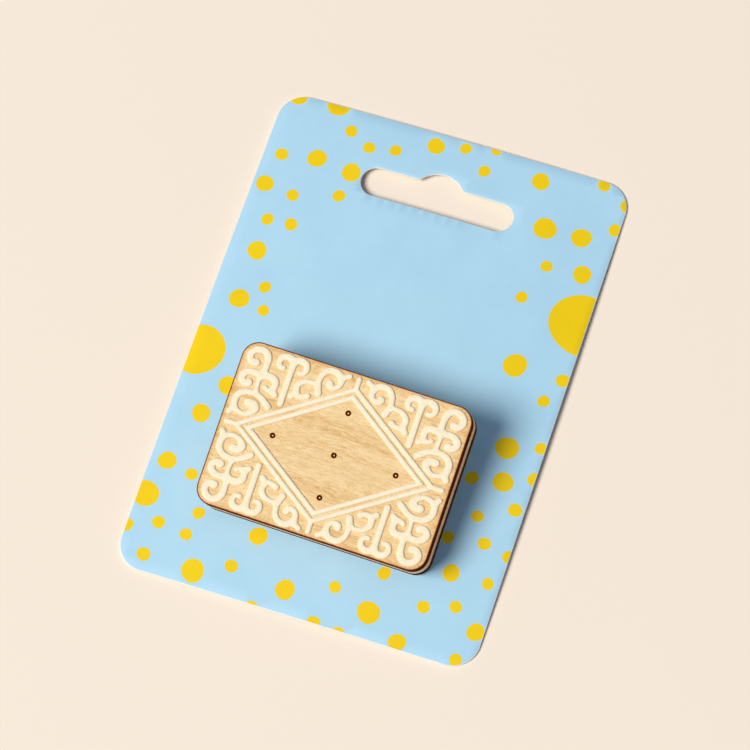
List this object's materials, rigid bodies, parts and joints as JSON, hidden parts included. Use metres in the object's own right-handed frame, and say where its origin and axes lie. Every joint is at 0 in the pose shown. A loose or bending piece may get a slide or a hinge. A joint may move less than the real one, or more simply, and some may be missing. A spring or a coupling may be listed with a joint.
{
  "type": "wooden pin badge on a hanging card",
  "caption": "Layered wooden biscuit-shaped pin badge with raised cream scrollwork, a brooch bar with hinged needle, and a bowed hanging card.",
  "frame": {"origin": "middle of the card's footprint, on the surface that its corners lie on", "axes": "+Z out of the printed side of the card, +Y along the card's length towards the hanging slot"},
  "size_m": [0.074, 0.105, 0.0179],
  "materials": {
    "printed_card": "matt pale blue print with yellow dots",
    "birch_plywood": "oiled birch face with laser-charred edges",
    "cream_filling": "cream acrylic with a laser-cut edge",
    "cream_print": "raised satin cream print",
    "plated_steel": "bright nickel plate"
  },
  "bodies": {
    "badge": {"backing_card": "printed_card", "back_biscuit_layer": "birch_plywood", "cream_filling_layer": "cream_filling", "front_biscuit_layer": "birch_plywood", "diamond_outer_line": "cream_print", "diamond_inner_line": "cream_print", "spire_scroll_upper_right": "cream_print", "spire_scroll_upper_left": "cream_print", "spire_scroll_lower_left": "cream_print", "spire_scroll_lower_right": "cream_print", "stem_curls_upper_right": "cream_print", "stem_curls_upper_left": "cream_print", "stem_curls_lower_left": "cream_print", "stem_curls_lower_right": "cream_print", "corner_scroll_upper_right": "cream_print", "corner_scroll_upper_left": "cream_print", "corner_scroll_lower_left": "cream_print", "corner_scroll_lower_right": "cream_print", "brooch_bar": "plated_steel", "hinge_rivet": "plated_steel"},
    "pin": {"needle": "plated_steel"},
    "lock": {"safety_barrel": "plated_steel"}
  },
  "joints": [
    {"name": "needle_hinge", "type": "hinge", "parent": "badge", "child": "pin", "pos_m": [0.01265, -0.01227, 0.00159], "axis": [-0.0223, -0.9807, -0.1942], "range_deg": [0, 110]},
    {"name": "barrel_turn", "type": "hinge", "parent": "badge", "child": "lock", "pos_m": [-0.01184, -0.01172, 0.00159], "axis": [0.9997, -0.0227, 0], "range_deg": [0, 100]}
  ]
}
